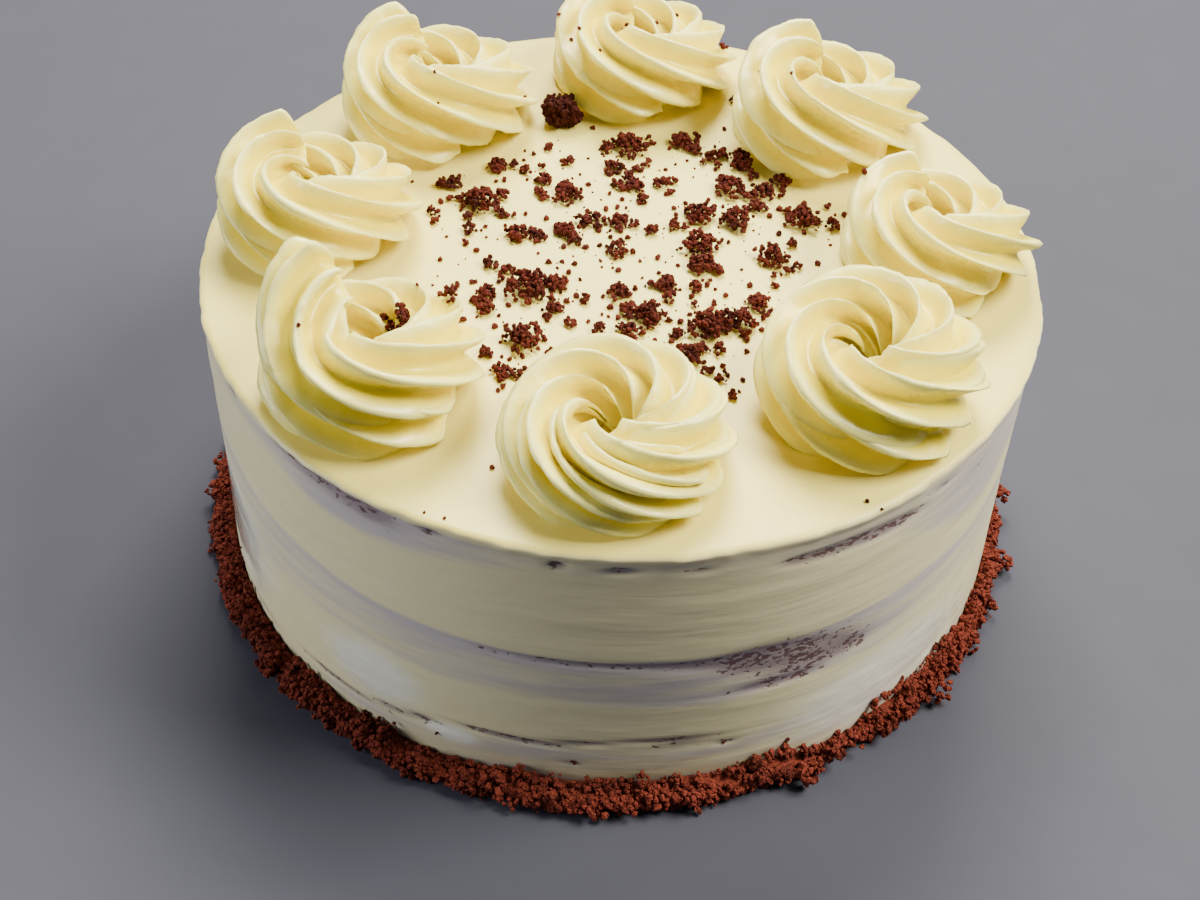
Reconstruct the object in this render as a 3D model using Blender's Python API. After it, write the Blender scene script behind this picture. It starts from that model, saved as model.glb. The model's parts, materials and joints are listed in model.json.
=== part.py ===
"""Half-naked red velvet layer cake with eight piped rosettes.

Three sponge layers and two cream fillings are stacked as full discs. A thin coat of icing
covers the top and the side. Eight star-piped rosettes stand in a ring on the top, with
cake crumbs scattered between them, and a band of crumbs is pressed round the foot.
Everything is in metres, with +Z up and the origin in the middle of the cake's flat base.
"""

import math
import random

import bmesh
import bpy
from mathutils import Vector, noise

# Driving dimensions
CAKE_RADIUS = 0.099          # to the outside of the icing coat, an 8 inch tin with its coat
CAKE_TOP = 0.0812            # top face of the icing
TOP_ICING = 0.0035           # thickness of the icing on the top
SIDE_COAT = 0.0023           # thickness of the scraped coat on the side
TOP_EDGE = 0.0022            # size of the soft top edge
FIT_GAP = 0.0003             # gap between pieces that touch
COAT_FOOT = 0.0010           # the coat ends this far above the base
DISC_SIDES = 64
WELD_DISTANCE = 0.00002      # points nearer than this after a union are one
SMOOTH_BELOW = 35            # edges flatter than this many degrees are shaded smooth

# Layers from the base up: name, lowest and highest height, colour
SPONGE = (0.35, 0.055, 0.045)
CREAM = (0.86, 0.80, 0.58)
LAYERS = (
    ("sponge_lower", 0.0, 0.0205, SPONGE),
    ("filling_lower", 0.0205, 0.0305, CREAM),
    ("sponge_middle", 0.0305, 0.0475, SPONGE),
    ("filling_upper", 0.0475, 0.0575, CREAM),
    ("sponge_upper", 0.0575, CAKE_TOP - TOP_ICING, SPONGE),
)

# Piping: a seven-toothed star nozzle laid in a clockwise coil
TEETH = 7
ROPE_SHARE = 0.40            # rope radius as a share of the rosette's outer radius
TOOTH_SHAPE = (1.0, 0.68, 0.68)   # reach of a tooth's tip and of its valley's two sides
SEAT_SHARE = 0.62            # height of the first turn's middle, as a share of the rope radius
CLIMB_START = 0.70           # turns laid before the rope climbs on itself
CLIMB_END = 1.10
LOWEST_RISE = 0.0025         # least rise of the upper surface over the first turn
CLOSE_IN = 0.30              # how far each turn past the second draws to the middle
TAIL_TURNS = 0.30            # share of a turn over which the tail lifts
FIRST_TIER_TURN = 52         # degrees that a ridge runs round on the first turn's outside
UPPER_SECTIONS = (-22, 5, 32, 60, 88, 116, 146, 178)
WELL_FLOOR = 0.0085          # bottom of the hole in the middle

# Rosettes: x, y, outer radius, height, start azimuth, turns, lift of the tail, tooth phase
ROSETTES = (
    (0.0012, -0.0713, 0.0253, 0.0190, -30, 2.21, 0.0005, 10),
    (0.0552, -0.0493, 0.0256, 0.0230, -35, 2.19, 0.0010, 0),
    (0.0748, 0.0008, 0.0235, 0.0225, -55, 1.55, 0.0005, 20),
    (0.0518, 0.0533, 0.0254, 0.0245, -80, 1.50, 0.0010, 20),
    (0.0036, 0.0752, 0.0248, 0.0230, -75, 1.50, 0.0010, 30),
    (-0.0480, 0.0535, 0.0255, 0.0240, -70, 1.48, 0.0020, 15),
    (-0.0715, 0.0030, 0.0244, 0.0235, -60, 1.52, 0.0020, 25),
    (-0.0518, -0.0524, 0.0250, 0.0240, -30, 1.56, 0.0100, 0),
)

# Crumbs on the top: the larger clusters, as x, y and width in millimetres
TOP_CLUSTERS = (
    (-35, 16, 8.5), (-42, 24, 4.0), (-32, 32, 5.0), (-25, 4, 5.5), (-14, 21, 6.5),
    (-20, 27, 4.0), (-13, 6, 5.5), (1, 43, 8.0), (-3, 34, 4.5), (14, 46, 6.0),
    (3, 26, 4.5), (9, 28, 4.0), (26, 27, 7.0), (29, 39, 6.5), (35, 26, 5.0),
    (19, 15, 7.0), (28, 13, 7.5), (19, 3, 8.0), (19, -5, 7.0), (44, 15, 7.5),
    (36, 0, 7.5), (-1, 11, 4.5), (-1, 0, 5.0), (-21, -16, 9.5), (-15, -14, 5.0),
    (-31, -19, 5.0), (-15, -23, 4.0), (0, -16, 5.0), (11, -12, 4.5), (7, -24, 7.5),
    (3, -30, 4.5), (21, -27, 9.0), (28, -25, 8.0), (32, -18, 5.5), (-21, -35, 8.5),
    (16, -38, 6.5), (39, 31, 4.5), (-25, -46, 4.5),
)
CLUSTER_RISE = 0.45          # height of a cluster as a share of its width
CLUSTER_SEAT = 0.22          # how far its middle stands above the icing, as a share of its height
CRUMB_REACH = (0.78, 1.12)   # a crumb's points lie within these shares of its half width
CHUNK = (-0.0172, 0.0532, 0.0110, 0.0092, 0.0080)   # x, y, length, depth and height of the big lump
CHUNK_SEED = 3

# Crumb band round the foot
BAND_OUTER = 0.1030          # mean outer radius of its core
BAND_HEIGHT = 0.0068
BAND_WAVE = 0.0014           # unevenness of its outline
BAND_SWELLS = 6.0            # how fast its slow and its quick unevenness run round the foot
BAND_NOTCHES = 17.0
BAND_BULGE = 0.0004          # how far its outside stands out half way up
BAND_SHOULDER = 0.0010       # how far its shoulder draws in
BAND_SPILL = 0.0022          # how much wider it is where most crumbs fell
SPILL_AZIMUTH = -128
SPILL_SPREAD = 55            # half width of that stretch, in degrees
BAND_SIDES = 60
BAND_LUMPS = 64
LUMP_WIDTH = (0.0045, 0.0085)
LUMP_SINK = (0.0006, 0.0026)  # how far a lump's middle lies inside the core's outline
LUMP_CLEAR = 0.42            # a lump's middle stands at least this share of its width above the base
LUMP_INSET = 0.57            # and this share of its width outside the coat
LUMP_RISE = 0.72             # height of a lump as a share of its width
LUMP_SEED = 11
FIRST_LUMP = 100             # seed of the first lump's shape


def clear_scene():
    for thing in list(bpy.data.objects):
        bpy.data.objects.remove(thing, do_unlink=True)


def new_collection(name):
    made = bpy.data.collections.new(name)
    bpy.context.scene.collection.children.link(made)
    return made


def finish(name, colour, roughness, metallic=0.0):
    """One Principled material."""
    made = bpy.data.materials.new(name)
    made.use_nodes = True
    shader = made.node_tree.nodes["Principled BSDF"]
    shader.inputs["Base Color"].default_value = (*colour, 1.0)
    shader.inputs["Roughness"].default_value = roughness
    shader.inputs["Metallic"].default_value = metallic
    return made


def add_object(name, mesh, group, material=None):
    made = bpy.data.objects.new(name, mesh)
    group.objects.link(made)
    if material:
        mesh.materials.clear()
        mesh.materials.append(material)
    return made


def turned(name, outline, sides, group, material, wobble=None):
    """Turns a closed outline of (radius, height) pairs round the Z axis into one closed solid."""
    shape = bmesh.new()
    rings = []
    for radius, height in outline:
        if radius == 0:
            rings.append([shape.verts.new((0, 0, height))])
            continue
        ring = []
        for step in range(sides):
            angle = 2 * math.pi * step / sides
            place = Vector((radius * math.cos(angle), radius * math.sin(angle), height))
            ring.append(shape.verts.new(wobble(place) if wobble else place))
        rings.append(ring)
    closed = outline[0][0] != 0
    pairs = list(zip(rings, rings[1:] + rings[:1])) if closed else list(zip(rings, rings[1:]))
    for low, high in pairs:
        for step in range(sides):
            after = (step + 1) % sides
            if len(low) == 1:
                shape.faces.new((low[0], high[after], high[step]))
            elif len(high) == 1:
                shape.faces.new((low[step], low[after], high[0]))
            else:
                shape.faces.new((low[step], low[after], high[after], high[step]))
    bmesh.ops.recalc_face_normals(shape, faces=shape.faces)
    mesh = bpy.data.meshes.new(name)
    shape.to_mesh(mesh)
    shape.free()
    return add_object(name, mesh, group, material)


def fuse(target, group):
    """Joins a collection's objects to a piece in one exact union, and removes them."""
    cut = target.modifiers.new("fuse", "BOOLEAN")
    cut.operand_type = "COLLECTION"
    cut.collection = group
    cut.operation = "UNION"
    cut.solver = "EXACT"
    bpy.context.view_layer.update()
    graph = bpy.context.evaluated_depsgraph_get()
    mesh = bpy.data.meshes.new_from_object(target.evaluated_get(graph))
    target.modifiers.remove(cut)
    target.data = mesh
    for tool in list(group.objects):
        bpy.data.objects.remove(tool, do_unlink=True)


def keep_largest(thing):
    """Welds near-equal points and drops every loose scrap but the largest body."""
    shape = bmesh.new()
    shape.from_mesh(thing.data)
    bmesh.ops.remove_doubles(shape, verts=shape.verts, dist=WELD_DISTANCE)
    bmesh.ops.dissolve_degenerate(shape, edges=shape.edges, dist=WELD_DISTANCE)
    bmesh.ops.triangulate(shape, faces=shape.faces)
    left = set(shape.verts)
    bodies = []
    while left:
        todo = [left.pop()]
        body = set(todo)
        while todo:
            for edge in todo.pop().link_edges:
                for vert in edge.verts:
                    if vert in left:
                        left.discard(vert)
                        body.add(vert)
                        todo.append(vert)
        bodies.append(body)
    bodies.sort(key=len)
    for body in bodies[:-1]:
        bmesh.ops.delete(shape, geom=list(body), context="VERTS")
    shape.to_mesh(thing.data)
    shape.free()


def layer_discs(group):
    """The three sponges and two fillings, each a disc that runs through the cake."""
    radius = CAKE_RADIUS - SIDE_COAT - FIT_GAP
    for name, low, high, colour in LAYERS:
        top = high - FIT_GAP
        outline = ((0, low), (radius, low), (radius, top), (0, top))
        turned(name, outline, DISC_SIDES, group, finish(name, colour, 0.8 if colour == SPONGE else 0.45))


def crumb(seed, place, width, rise, group, divisions=1):
    """A ragged lump: a coarse ball with every point pushed in or out."""
    draw = random.Random(seed)
    shape = bmesh.new()
    bmesh.ops.create_icosphere(shape, subdivisions=divisions, radius=1.0)
    turn = draw.uniform(0, 2 * math.pi)
    for vert in shape.verts:
        reach = draw.uniform(*CRUMB_REACH)
        x, y, z = vert.co * reach
        across = x * math.cos(turn) - y * math.sin(turn)
        along = x * math.sin(turn) + y * math.cos(turn)
        vert.co = (place[0] + across * width / 2, place[1] + along * width / 2, place[2] + z * rise / 2)
    mesh = bpy.data.meshes.new("crumb")
    shape.to_mesh(mesh)
    shape.free()
    return add_object("crumb", mesh, group)


def icing(group, tools):
    """The coat on top and side in one piece, with the larger crumbs of the top fused on."""
    inner = CAKE_RADIUS - SIDE_COAT
    under = CAKE_TOP - TOP_ICING
    edge = [(CAKE_RADIUS - TOP_EDGE + TOP_EDGE * math.sin(a), CAKE_TOP - TOP_EDGE + TOP_EDGE * math.cos(a))
            for a in (math.radians(d) for d in (90, 60, 30, 0))]
    outline = [(0, under), (inner, under), (inner, COAT_FOOT), (CAKE_RADIUS, COAT_FOOT), *edge, (0, CAKE_TOP)]
    coat = turned("icing", outline, DISC_SIDES, group, finish("icing", (0.88, 0.84, 0.68), 0.4))
    for number, (x, y, width) in enumerate(TOP_CLUSTERS):
        rise = width * CLUSTER_RISE / 1000
        crumb(number, (x / 1000, y / 1000, CAKE_TOP + CLUSTER_SEAT * rise), width / 1000, rise, tools)
    fuse(coat, tools)
    keep_largest(coat)


def smooth(value):
    value = min(max(value, 0.0), 1.0)
    return value * value * (3 - 2 * value)


def rope_at(spec, turns_done):
    """Ring radius and height of the rope's middle after so many turns."""
    outer, height, turns, lift = spec[2], spec[3], spec[5], spec[6]
    rope = outer * ROPE_SHARE
    seat = rope * SEAT_SHARE
    climb = smooth((turns_done - CLIMB_START) / (CLIMB_END - CLIMB_START))
    past = max(turns_done - 1.6, 0.0)
    ring = (outer - rope) * (1 - 0.04 * climb - CLOSE_IN * past)
    tail = smooth((turns_done - turns + TAIL_TURNS) / TAIL_TURNS)
    return ring, seat + (height - rope - seat) * climb + lift * tail


def swirl_point(spec, azimuth, tier, section, reach):
    """A point of the swirl: the azimuth round the rosette and the section angle round its rope.

    The section angle is 0 on the outside, 90 on top and 180 in the hole. Tier 0 is the first
    turn, and tier 1 is the last turn that passes this azimuth.
    """
    outer, start, turns = spec[2], spec[4], spec[5]
    rope = outer * ROPE_SHARE
    travelled = ((start - azimuth) / 360) % 1.0
    ring, up = rope_at(spec, travelled)
    if tier:
        ring, top = rope_at(spec, travelled + math.floor(turns - travelled))
        up = max(top, rope * SEAT_SHARE + LOWEST_RISE)
    radius = ring + rope * reach * math.cos(math.radians(section))
    angle = math.radians(azimuth)
    lift = up + rope * reach * math.sin(math.radians(section))
    return radius * math.cos(angle), radius * math.sin(angle), lift


def rosette(name, spec, group):
    """One star-piped swirl, its rope laid clockwise from above.

    The nozzle never turns, so the teeth roll once round the rope in each turn, and a ridge
    runs from the outer foot up and over into the hole as it goes round. Each column of
    points follows one ridge or one side of a valley.
    """
    x, y, phase = spec[0], spec[1], spec[7]
    foot = -math.degrees(math.asin(SEAT_SHARE))
    rows = [(0, section, section - foot) for section in (foot, foot / 4)]
    rows += [(1, section, FIRST_TIER_TURN + section) for section in UPPER_SECTIONS]
    columns = TEETH * len(TOOTH_SHAPE)
    shape = bmesh.new()
    grid = []
    for row, (tier, section, roll) in enumerate(rows):
        line = []
        for column in range(columns):
            azimuth = 360 * column / columns + phase - roll
            place = swirl_point(spec, azimuth, tier, section, TOOTH_SHAPE[column % len(TOOTH_SHAPE)])
            line.append(shape.verts.new((place[0], place[1], 0.0 if row == 0 else place[2])))
        grid.append(line)
    for low, high in zip(grid, grid[1:]):
        for column in range(columns):
            after = (column + 1) % columns
            shape.faces.new((low[column], low[after], high[after], high[column]))
    base = shape.verts.new((0, 0, 0))
    well = shape.verts.new((0, 0, WELL_FLOOR))
    for column in range(columns):
        after = (column + 1) % columns
        shape.faces.new((grid[0][after], grid[0][column], base))
        shape.faces.new((grid[-1][column], grid[-1][after], well))
    bmesh.ops.triangulate(shape, faces=shape.faces)
    mesh = bpy.data.meshes.new(name)
    shape.to_mesh(mesh)
    shape.free()
    swirl = add_object(name, mesh, group, finish(name, (0.90, 0.82, 0.50), 0.4))
    swirl.location = (x, y, CAKE_TOP + FIT_GAP)


def chunk(group):
    """The one large lump of sponge that lies between the back rosettes."""
    x, y, length, depth, height = CHUNK
    lump = crumb(CHUNK_SEED, (0, 0, 0), length, height * 1.25, group, divisions=2)
    lump.name = "crumb_chunk"
    lump.data.name = "crumb_chunk"
    lump.data.materials.append(finish("crumb_chunk", (0.25, 0.03, 0.025), 0.85))
    for vert in lump.data.vertices:
        vert.co.y *= depth / length
        vert.co.z = max(vert.co.z + height / 2, 0.0)
    lump.location = (x, y, CAKE_TOP + FIT_GAP)


def spill(azimuth):
    """Extra reach of the crumb band at an azimuth in degrees."""
    away = abs((azimuth - SPILL_AZIMUTH + 180) % 360 - 180)
    return BAND_SPILL * smooth(1.5 - away / SPILL_SPREAD)


def crumb_band(group, tools):
    """The heap of crumbs pressed round the foot: an uneven ring with lumps fused on."""
    inner = CAKE_RADIUS + FIT_GAP
    outline = ((inner, 0), (BAND_OUTER, 0), (BAND_OUTER + BAND_BULGE, BAND_HEIGHT * 0.45),
               (BAND_OUTER - BAND_SHOULDER, BAND_HEIGHT * 0.85), (inner, BAND_HEIGHT))
    crumbs = finish("crumb_border", (0.36, 0.06, 0.045), 0.9)

    def uneven(place):
        """Moves the outer and upper points of the ring, by the direction they lie in."""
        way = Vector((place.x, place.y, 0)).normalized()
        swell = noise.noise(way * BAND_SWELLS + Vector((3, 1, 7)))
        fine = noise.noise(way * BAND_NOTCHES + Vector((0, 5, 2)))
        radius = math.hypot(place.x, place.y)
        if radius > inner + 0.0001:
            radius += BAND_WAVE * (swell + 0.6 * fine) + spill(math.degrees(math.atan2(place.y, place.x)))
        height = place.z
        if height > 0:
            height += BAND_WAVE * 1.3 * (fine - 0.5 * swell) * (height / BAND_HEIGHT)
        return Vector((way.x * radius, way.y * radius, height))

    band = turned("crumb_border", outline, BAND_SIDES, group, crumbs, uneven)
    draw = random.Random(LUMP_SEED)
    for number in range(BAND_LUMPS):
        azimuth = 360 * (number + draw.uniform(-0.35, 0.35)) / BAND_LUMPS
        width = draw.uniform(*LUMP_WIDTH)
        height = max(draw.uniform(0.15, 1.0) * BAND_HEIGHT, LUMP_CLEAR * width)
        reach = BAND_OUTER + spill(azimuth) - draw.uniform(*LUMP_SINK)
        reach = max(reach, inner + LUMP_INSET * width)
        angle = math.radians(azimuth)
        place = (reach * math.cos(angle), reach * math.sin(angle), height)
        crumb(FIRST_LUMP + number, place, width, width * LUMP_RISE, tools)
    fuse(band, tools)
    keep_largest(band)


def build():
    clear_scene()
    cake = new_collection("red_velvet_cake")
    tools = new_collection("tools")
    layer_discs(cake)
    icing(cake, tools)
    for number, spec in enumerate(ROSETTES):
        rosette("rosette_%d" % (number + 1), spec, cake)
    chunk(cake)
    crumb_band(cake, tools)
    for thing in cake.objects:
        thing.data.shade_smooth()
        thing.data.set_sharp_from_angle(angle=math.radians(SMOOTH_BELOW))


build()
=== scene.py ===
"""Looks of the red velvet layer cake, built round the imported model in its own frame."""
import json
import math
import random

import bmesh
import bpy
import numpy as np
from mathutils import Matrix, Vector, noise
from mathutils.bvhtree import BVHTree

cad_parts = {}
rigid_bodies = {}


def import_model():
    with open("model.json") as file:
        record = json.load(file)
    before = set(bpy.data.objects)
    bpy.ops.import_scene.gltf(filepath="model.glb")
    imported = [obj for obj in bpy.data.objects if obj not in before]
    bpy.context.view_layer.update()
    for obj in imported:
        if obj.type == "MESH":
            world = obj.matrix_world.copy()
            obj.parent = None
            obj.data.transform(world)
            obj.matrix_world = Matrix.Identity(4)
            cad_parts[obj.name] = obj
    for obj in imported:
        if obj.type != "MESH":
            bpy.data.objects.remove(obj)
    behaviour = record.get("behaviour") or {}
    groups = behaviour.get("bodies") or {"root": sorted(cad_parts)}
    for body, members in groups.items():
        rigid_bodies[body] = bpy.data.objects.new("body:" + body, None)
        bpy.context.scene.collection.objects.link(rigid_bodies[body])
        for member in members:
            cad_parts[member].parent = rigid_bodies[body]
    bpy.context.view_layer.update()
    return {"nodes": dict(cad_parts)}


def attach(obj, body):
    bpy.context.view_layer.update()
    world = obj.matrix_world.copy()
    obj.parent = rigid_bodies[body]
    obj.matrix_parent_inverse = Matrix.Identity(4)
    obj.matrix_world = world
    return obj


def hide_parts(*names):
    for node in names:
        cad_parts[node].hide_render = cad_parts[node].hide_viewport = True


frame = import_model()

# The five discs. Three layers of red cocoa sponge, baked and levelled, lie with two layers of
# butter cream between them. Only a cut would show them, because the coat covers their edges.
SPONGE_RED = (0.200, 0.030, 0.020)
SPONGE_PORE = (0.050, 0.008, 0.006)
FILLING_CREAM = (0.86, 0.79, 0.55)
SPONGE_PORES_PER_METRE = 650


class Field:
    """One output socket of a node tree. Sums and products of fields add Math nodes to it."""

    def __init__(self, socket):
        self.socket = socket

    def maths(self, operation, *terms):
        """A Math node in this field's tree, fed with the terms."""
        made = self.socket.id_data.nodes.new("ShaderNodeMath")
        made.operation = operation
        for socket, term in zip(made.inputs, terms):
            put(socket, term)
        return Field(made.outputs[0])

    def __add__(self, other):
        return self.maths("ADD", self, other)

    def __sub__(self, other):
        return self.maths("SUBTRACT", self, other)

    def __rsub__(self, other):
        return self.maths("SUBTRACT", other, self)

    def __mul__(self, other):
        return self.maths("MULTIPLY", self, other)

    def __truediv__(self, other):
        return self.maths("DIVIDE", self, other)

    __radd__ = __add__


def put(socket, value):
    """Links a field to a socket, or sets a plain value on it."""
    if isinstance(value, Field):
        socket.id_data.links.new(value.socket, socket)
    else:
        socket.default_value = value


class Recipe:
    """A node tree that is written out node by node."""

    def __init__(self, tree):
        self.tree = tree

    def add(self, kind, settings=None, sockets=None, out=0):
        """Adds one node: first its settings, then the values or links of its sockets."""
        made = self.tree.nodes.new(kind)
        for name, value in (settings or {}).items():
            setattr(made, name, value)
        for name, value in (sockets or {}).items():
            put(made.inputs[name], value)
        return Field(made.outputs[out])

    def step(self, value, low, high):
        """0 below the low value and 1 above the high one, with a soft change between them."""
        span = {"Value": value, "From Min": low, "From Max": high}
        return self.add("ShaderNodeMapRange", {"interpolation_type": "SMOOTHSTEP"}, span)

    def mix(self, share, first, second):
        """The first colour where the share is 0, the second where it is 1."""
        colours = {0: share, 6: first, 7: second}
        return self.add("ShaderNodeMix", {"data_type": "RGBA"}, colours, out=2)

    def attribute(self, name):
        """The number that the points of the piece carry under a name."""
        return self.add("ShaderNodeAttribute", {"attribute_name": name}, out=2)

    def grain(self, scale, detail=2.0, stretch=(1, 1, 1)):
        """Soft noise over the piece's own coordinates, 0 to 1, at so many grains a metre."""
        place = self.add("ShaderNodeTexCoord", out=3)
        place = self.add("ShaderNodeMapping", sockets={"Vector": place, "Scale": stretch})
        return self.add("ShaderNodeTexNoise", sockets={"Vector": place, "Scale": scale, "Detail": detail})

    def cells(self, scale):
        """Distance to the middle of the nearest pore."""
        place = self.add("ShaderNodeTexCoord", out=3)
        return self.add("ShaderNodeTexVoronoi", sockets={"Vector": place, "Scale": scale})

    def bump(self, height, strength, distance):
        """A shading normal that follows a height."""
        sizes = {"Height": height, "Strength": strength, "Distance": distance}
        return self.add("ShaderNodeBump", sockets=sizes)


def finish(name, constants):
    """A new material, its recipe and its shader, with the values that are the same all over."""
    made = bpy.data.materials.new(name)
    made.use_nodes = True
    shader = made.node_tree.nodes["Principled BSDF"]
    for socket, value in constants.items():
        shader.inputs[socket].default_value = value
    return made, Recipe(made.node_tree), shader


def colour(rgb):
    """A colour as the sockets take it, with its alpha."""
    return (*rgb, 1.0)


def in_scene(name, data):
    """A new object in the scene."""
    made = bpy.data.objects.new(name, data)
    bpy.context.scene.collection.objects.link(made)
    return made


def sponge_finish():
    """Open red crumb: dark pores in a matte brick-red sponge."""
    made, mix, shader = finish("red_sponge", {"Roughness": 0.92, "Specular IOR Level": 0.2})
    pore = mix.step(mix.cells(SPONGE_PORES_PER_METRE), 0.15, 0.55)
    tone = mix.grain(180)
    shade = mix.mix(pore * 0.8 + tone * 0.2, colour(SPONGE_PORE), colour(SPONGE_RED))
    put(shader.inputs["Base Color"], shade)
    put(shader.inputs["Normal"], mix.bump(pore + tone * 0.6, 0.8, 0.0006))
    return made


def filling_finish():
    """Smooth butter cream with faint streaks."""
    made, mix, shader = finish("butter_cream_filling", {"Roughness": 0.45})
    streak = mix.grain(60, stretch=(1, 1, 5))
    shade = mix.mix(streak, colour(FILLING_CREAM), colour([v * 0.92 for v in FILLING_CREAM]))
    put(shader.inputs["Base Color"], shade)
    put(shader.inputs["Normal"], mix.bump(streak, 0.3, 0.0004))
    return made


sponge = sponge_finish()
filling = filling_finish()
for node_name, piece in frame["nodes"].items():
    for layer, look in (("sponge", sponge), ("filling", filling)):
        if node_name.startswith(layer):
            for holder in piece.material_slots:
                holder.material = look

# The coat. Ivory cream icing, laid smooth over the top and then scraped so thin round the side
# that the sponge shows through it in grey bands, broken dark lines and torn spots.
CAKE_RADIUS = 0.099
CAKE_TOP = 0.0812
TOP_ICING = 0.0035
SIDE_COAT = 0.0023
EDGE_ROUND = 0.0012
COAT_FOOT = 0.0010
COAT_COLUMNS = 480
SIDE_ROWS = 100
EDGE_ROWS = 9
TOP_ROWS = 58
TOP_INNERMOST = 0.0015
COAT_INSET = 0.0004          # how far the middle of the coat's skin lies inside the cake's radius
TORN_DEPTH = 0.0005
RIPPLE_DEPTH = 0.00014       # scraper ripples, finer marks and slow swells of the side
MARK_DEPTH = 0.00006
SWELL_DEPTH = 0.0005
LIP_OUT = 0.0006             # how far the lip of the top stands out, its waves and its nicks
LIP_WAVE = 0.0007
LIP_NICKS = 0.0006
LIP_HEIGHT = 0.0022
TOP_SWELL = 0.00035
TOP_MARK = 0.00008
# Height of each scraped band's lower and upper edge in mm, and how grey it is
MIDDLE_BAND = (32.5, 48.5, 0.95)
TOP_BAND = (73.5, 79.0, 0.9)
FOOT_BAND = (0.0, 19.5, 0.9)
FOOT_SLOPE = 0.24            # mm that the foot band's edge sinks in each degree to the left
SEAM_FADE = 20               # degrees over which the left side's bands meet those of the back
BAND_SHOWN = (-78, 40, 152)  # azimuths where the bands show most, and how far that reaches
SHOWN_REACH = 55
# Veils under the rim: azimuth and half width in degrees, and how far down they reach in mm
LEFT_VEIL = (-122, 17, 4.5)
RIGHT_VEIL = (-32, 19, 17)
MIDDLE_RISE = (-112, 45, 5)  # where the middle band's edge rises to the left, over how far, and by mm
# Torn spots: azimuth in degrees, height in mm, half its width in degrees, half its height in mm, depth
TORN = (
    (-148.5, 79.0, 2.0, 2.0, 0.8), (-134.0, 79.5, 3.0, 2.0, 1.0), (-127.0, 78.0, 6.0, 3.2, 0.9),
    (-119.5, 76.5, 4.5, 3.0, 0.9), (-111.7, 78.4, 1.6, 0.9, 1.2), (-95.9, 76.9, 1.2, 1.0, 1.3),
    (-88.3, 76.6, 2.2, 0.9, 1.4), (-79.0, 75.8, 2.0, 0.8, 0.8), (-65.8, 73.8, 3.0, 1.3, 1.1),
    (-59.6, 73.6, 5.0, 1.7, 1.5), (-52.5, 73.2, 4.5, 1.8, 1.2), (-44.0, 76.0, 3.0, 1.0, 0.8),
    (-91.0, 46.6, 16.0, 0.9, 1.0), (-76.5, 45.4, 7.0, 1.2, 1.0), (-70.5, 44.5, 5.5, 4.0, 1.3),
    (-62.5, 41.5, 7.0, 5.0, 1.2), (-67.5, 34.8, 6.0, 1.3, 1.2), (-57.5, 38.0, 4.0, 2.5, 0.8),
    (-128.0, 10.8, 8.0, 0.8, 1.1), (-119.3, 12.8, 3.0, 0.9, 1.1), (-113.6, 14.3, 3.0, 1.2, 1.2),
    (-101.5, 17.2, 7.0, 0.8, 1.5), (-92.0, 18.9, 4.0, 0.7, 1.2), (-82.0, 20.2, 7.0, 0.8, 1.0),
    (-79.5, 18.2, 5.0, 1.6, 0.7), (-147.0, 7.6, 5.0, 0.9, 0.8), (-36.0, 71.5, 4.0, 0.9, 0.4),
    (20.0, 76.5, 5.0, 1.4, 1.0), (48.0, 43.5, 9.0, 2.6, 1.1), (71.0, 76.8, 4.0, 1.2, 1.2),
    (86.0, 46.0, 12.0, 0.9, 1.0), (104.0, 18.0, 8.0, 0.8, 1.2), (128.0, 40.0, 7.0, 3.4, 1.1),
    (150.0, 76.0, 6.0, 1.6, 1.1), (168.0, 45.5, 9.0, 1.0, 1.0), (58.0, 19.0, 6.0, 0.8, 1.0),
    (-93.3, 11.6, 1.6, 0.6, 0.9), (-73.1, 16.9, 1.6, 0.7, 0.9),
)
# Wet patches, glossier and painted white as a painted highlight: azimuth in degrees, height in mm, half its
# width in degrees, half its height in mm
GLOSS_AND_HIGHLIGHT_PATCHES = ((-122.0, 23.0, 8.0, 9.0), (-48.0, 18.0, 17.0, 13.0), (-110.0, 13.0, 4.0, 3.0),
               (-158.0, 26.0, 14.0, 16.0))
ICING_CREAM = (0.88, 0.765, 0.205)
SCRAPED_CREAM = (0.82, 0.755, 0.46)
PAINTED_HIGHLIGHT_WHITE = (0.98, 0.96, 0.85)
ICING_VEIL = (0.56, 0.505, 0.500)
ICING_SMEAR = (0.230, 0.170, 0.200)
ICING_STAIN = (0.085, 0.026, 0.030)
COAT_STREAKS_PER_METRE = 90
COAT_FLECKS_PER_METRE = 520
COAT_CLOUDS_PER_METRE = 130
FLECKS_SHOWN = (0.41, 0.68)
STAIN_STRENGTH = 0.8
PAINTED_HIGHLIGHT_STRENGTH = 0.85


def smooth(value):
    """0 below 0 and 1 above 1, with a soft change between them."""
    value = min(max(value, 0.0), 1.0)
    return value * value * (3 - 2 * value)


def apart(first, second):
    """Difference between two azimuths, -180 to 180 degrees."""
    return (first - second + 180) % 360 - 180


def outward(azimuth):
    """Unit vector away from the cake's axis, at an azimuth in degrees."""
    turn = math.radians(azimuth)
    return Vector((math.cos(turn), math.sin(turn), 0))


def hill(azimuth, height, spot):
    """1 in the middle of a spot and 0 outside it."""
    across = apart(azimuth, spot[0]) / spot[2]
    up = (height - spot[1]) / spot[3]
    return math.exp(-(across * across + up * up))


def bell(azimuth, middle, reach):
    """1 at the middle azimuth, and 0 well past the reach."""
    return math.exp(-(apart(azimuth, middle) / reach) ** 2)


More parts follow.
